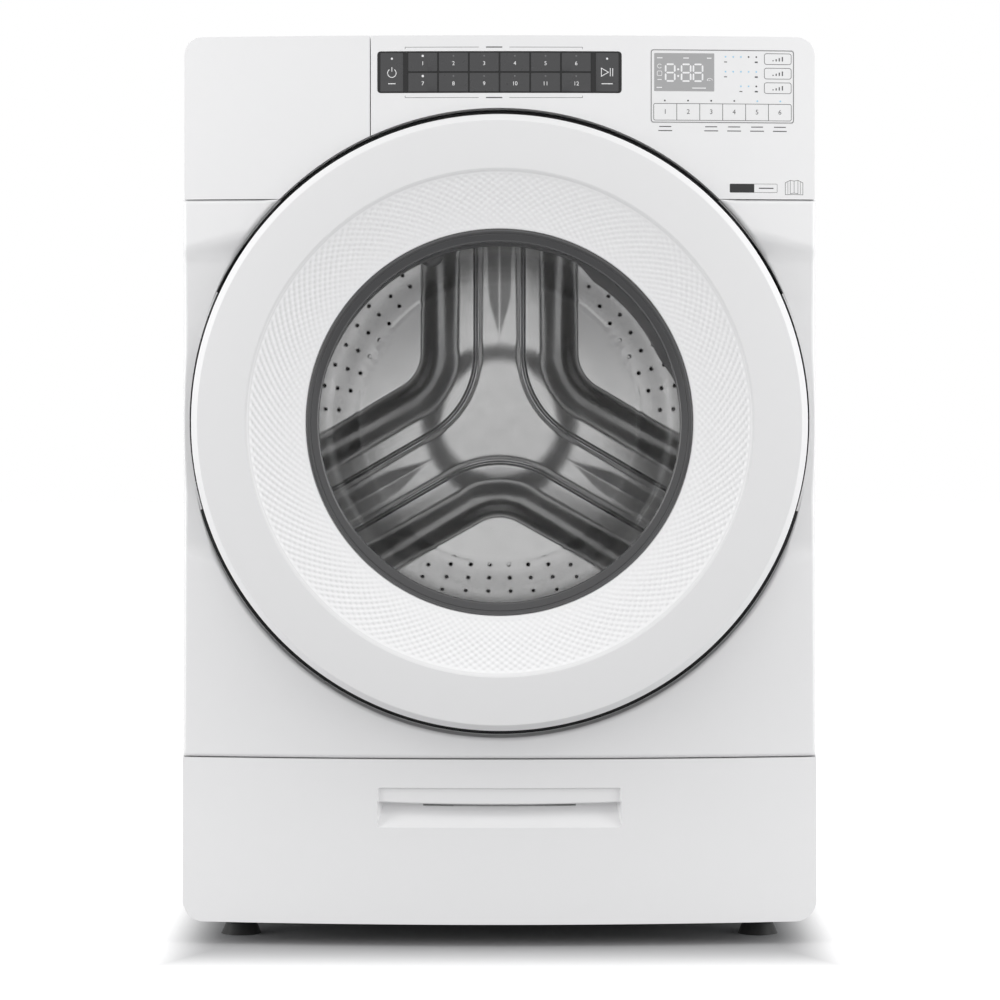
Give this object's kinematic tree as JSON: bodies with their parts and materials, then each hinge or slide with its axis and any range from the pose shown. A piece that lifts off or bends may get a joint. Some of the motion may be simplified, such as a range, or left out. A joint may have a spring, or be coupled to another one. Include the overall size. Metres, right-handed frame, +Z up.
{
  "type": "front loading washer dryer",
  "caption": "White front-loading washing machine with tumble drying: round glass door in a wide ring, push keys, detergent drawer and a tilting lower panel.",
  "frame": {"origin": "middle of the footprint, on the floor", "axes": "+X to the right seen from the front, -Y to the front, +Z up"},
  "size_m": [0.686, 0.8, 0.981],
  "materials": {
    "white_front": "satin",
    "white_steel": "satin",
    "grey_steel": "satin",
    "key_dark": "gloss",
    "display_white": "gloss",
    "trim_dark": "gloss",
    "bowl_glass": "polished",
    "gasket_grey": "matte",
    "stainless": "satin",
    "tub_plastic": "matte",
    "grey_plastic": "matte",
    "black_plastic": "matte",
    "white_plastic": "satin",
    "concrete": "matte",
    "cast_alloy": "matte",
    "zinc_steel": "satin",
    "belt_rubber": "matte",
    "foot_rubber": "matte",
    "blue_plastic": "matte",
    "galvanised": "matte"
  },
  "bodies": {
    "cabinet": {"cabinet_shell": "white_steel", "top_panel": "white_steel", "rear_cover": "galvanised", "cabinet_screws": "zinc_steel", "base_pan": "galvanised", "levelling_feet": "foot_rubber", "front_panel": "white_front", "control_fascia": "white_front", "key_bezel": "key_dark", "display_panel": "display_white", "inlet_valves": "white_plastic", "drain_outlet": "black_plastic", "cord_gland": "black_plastic", "dispenser_housing": "white_plastic", "door_lock": "white_plastic", "hinge_bracket": "grey_steel", "door_gasket": "gasket_grey", "suspension_springs": "zinc_steel", "sump_hose": "gasket_grey", "damper_cylinders": "grey_plastic", "pump_housing": "grey_plastic"},
    "tub": {"tub_front": "tub_plastic", "tub_rear": "tub_plastic", "front_counterweight": "concrete", "drum_bearings": "zinc_steel", "drive_motor": "grey_steel", "drive_belt": "belt_rubber", "damper_rods": "grey_plastic", "drying_duct": "galvanised"},
    "drum": {"drum_shell": "stainless", "drum_back": "stainless", "drum_lifters": "grey_plastic", "drum_spider": "cast_alloy", "drum_pulley": "cast_alloy"},
    "rotor": {"motor_pulley": "zinc_steel"},
    "fan": {"blower_fan": "cast_alloy"},
    "impeller": {"pump_impeller": "black_plastic"},
    "filter": {"lint_filter": "blue_plastic"},
    "door": {"door_ring": "white_front", "glass_trim": "trim_dark", "door_glass": "bowl_glass", "door_liner": "white_plastic", "hinge_leaf": "grey_steel"},
    "drawer": {"drawer_front": "white_front", "dispenser_tray": "white_plastic"},
    "flap": {"access_panel": "white_front"},
    "key_power_cap": {"key_power": "key_dark"},
    "key_1_cap": {"key_1": "key_dark"},
    "key_2_cap": {"key_2": "key_dark"},
    "key_3_cap": {"key_3": "key_dark"},
    "key_4_cap": {"key_4": "key_dark"},
    "key_5_cap": {"key_5": "key_dark"},
    "key_6_cap": {"key_6": "key_dark"},
    "key_7_cap": {"key_7": "key_dark"},
    "key_8_cap": {"key_8": "key_dark"},
    "key_9_cap": {"key_9": "key_dark"},
    "key_10_cap": {"key_10": "key_dark"},
    "key_11_cap": {"key_11": "key_dark"},
    "key_12_cap": {"key_12": "key_dark"},
    "key_start_cap": {"key_start": "key_dark"}
  },
  "joints": [
    {"name": "door_swing", "type": "hinge", "parent": "cabinet", "child": "door", "pos_m": [-0.308, -0.364, 0.5655], "axis": [0, 0, -1], "range_deg": [0, 145]},
    {"name": "drawer_slide", "type": "slide", "parent": "cabinet", "child": "drawer", "axis": [0, -1, 0], "range_m": [0, 0.25]},
    {"name": "flap_tilt", "type": "hinge", "parent": "cabinet", "child": "flap", "pos_m": [0, -0.334, 0.035], "axis": [1, 0, 0], "range_deg": [0, 75]},
    {"name": "drum_spin", "type": "hinge", "parent": "tub", "child": "drum", "pos_m": [0, 0, 0.558], "axis": [0, 1, 0], "continuous": true},
    {"name": "tub_bounce", "type": "slide", "parent": "cabinet", "child": "tub", "axis": [0, 0, 1], "range_m": [-0.01, 0.01], "stiffness_N_per_m": 30000, "springref_m": 0.02, "deforming": ["door_gasket", "suspension_springs", "sump_hose"]},
    {"name": "filter_turn", "type": "hinge", "parent": "cabinet", "child": "filter", "pos_m": [0.205, -0.29, 0.095], "axis": [0, 1, 0], "range_deg": [0, 90]},
    {"name": "rotor_spin", "type": "hinge", "parent": "tub", "child": "rotor", "pos_m": [0.12, 0.25, 0.228], "axis": [0, 1, 0], "continuous": true},
    {"name": "fan_spin", "type": "hinge", "parent": "tub", "child": "fan", "pos_m": [0.12, 0.15, 0.87], "axis": [0, 0, 1], "continuous": true},
    {"name": "impeller_spin", "type": "hinge", "parent": "cabinet", "child": "impeller", "pos_m": [0.205, -0.17, 0.095], "axis": [0, 1, 0], "continuous": true},
    {"name": "key_power_press", "type": "slide", "parent": "cabinet", "child": "key_power_cap", "axis": [0, 1, 0], "range_m": [0, 0.001], "stiffness_N_per_m": 400},
    {"name": "key_1_press", "type": "slide", "parent": "cabinet", "child": "key_1_cap", "axis": [0, 1, 0], "range_m": [0, 0.001], "stiffness_N_per_m": 400},
    {"name": "key_2_press", "type": "slide", "parent": "cabinet", "child": "key_2_cap", "axis": [0, 1, 0], "range_m": [0, 0.001], "stiffness_N_per_m": 400},
    {"name": "key_3_press", "type": "slide", "parent": "cabinet", "child": "key_3_cap", "axis": [0, 1, 0], "range_m": [0, 0.001], "stiffness_N_per_m": 400},
    {"name": "key_4_press", "type": "slide", "parent": "cabinet", "child": "key_4_cap", "axis": [0, 1, 0], "range_m": [0, 0.001], "stiffness_N_per_m": 400},
    {"name": "key_5_press", "type": "slide", "parent": "cabinet", "child": "key_5_cap", "axis": [0, 1, 0], "range_m": [0, 0.001], "stiffness_N_per_m": 400},
    {"name": "key_6_press", "type": "slide", "parent": "cabinet", "child": "key_6_cap", "axis": [0, 1, 0], "range_m": [0, 0.001], "stiffness_N_per_m": 400},
    {"name": "key_7_press", "type": "slide", "parent": "cabinet", "child": "key_7_cap", "axis": [0, 1, 0], "range_m": [0, 0.001], "stiffness_N_per_m": 400},
    {"name": "key_8_press", "type": "slide", "parent": "cabinet", "child": "key_8_cap", "axis": [0, 1, 0], "range_m": [0, 0.001], "stiffness_N_per_m": 400},
    {"name": "key_9_press", "type": "slide", "parent": "cabinet", "child": "key_9_cap", "axis": [0, 1, 0], "range_m": [0, 0.001], "stiffness_N_per_m": 400},
    {"name": "key_10_press", "type": "slide", "parent": "cabinet", "child": "key_10_cap", "axis": [0, 1, 0], "range_m": [0, 0.001], "stiffness_N_per_m": 400},
    {"name": "key_11_press", "type": "slide", "parent": "cabinet", "child": "key_11_cap", "axis": [0, 1, 0], "range_m": [0, 0.001], "stiffness_N_per_m": 400},
    {"name": "key_12_press", "type": "slide", "parent": "cabinet", "child": "key_12_cap", "axis": [0, 1, 0], "range_m": [0, 0.001], "stiffness_N_per_m": 400},
    {"name": "key_start_press", "type": "slide", "parent": "cabinet", "child": "key_start_cap", "axis": [0, 1, 0], "range_m": [0, 0.001], "stiffness_N_per_m": 400}
  ],
  "couplings": [
    {"joint": "rotor_spin", "follows": "drum_spin", "ratio": 13}
  ]
}
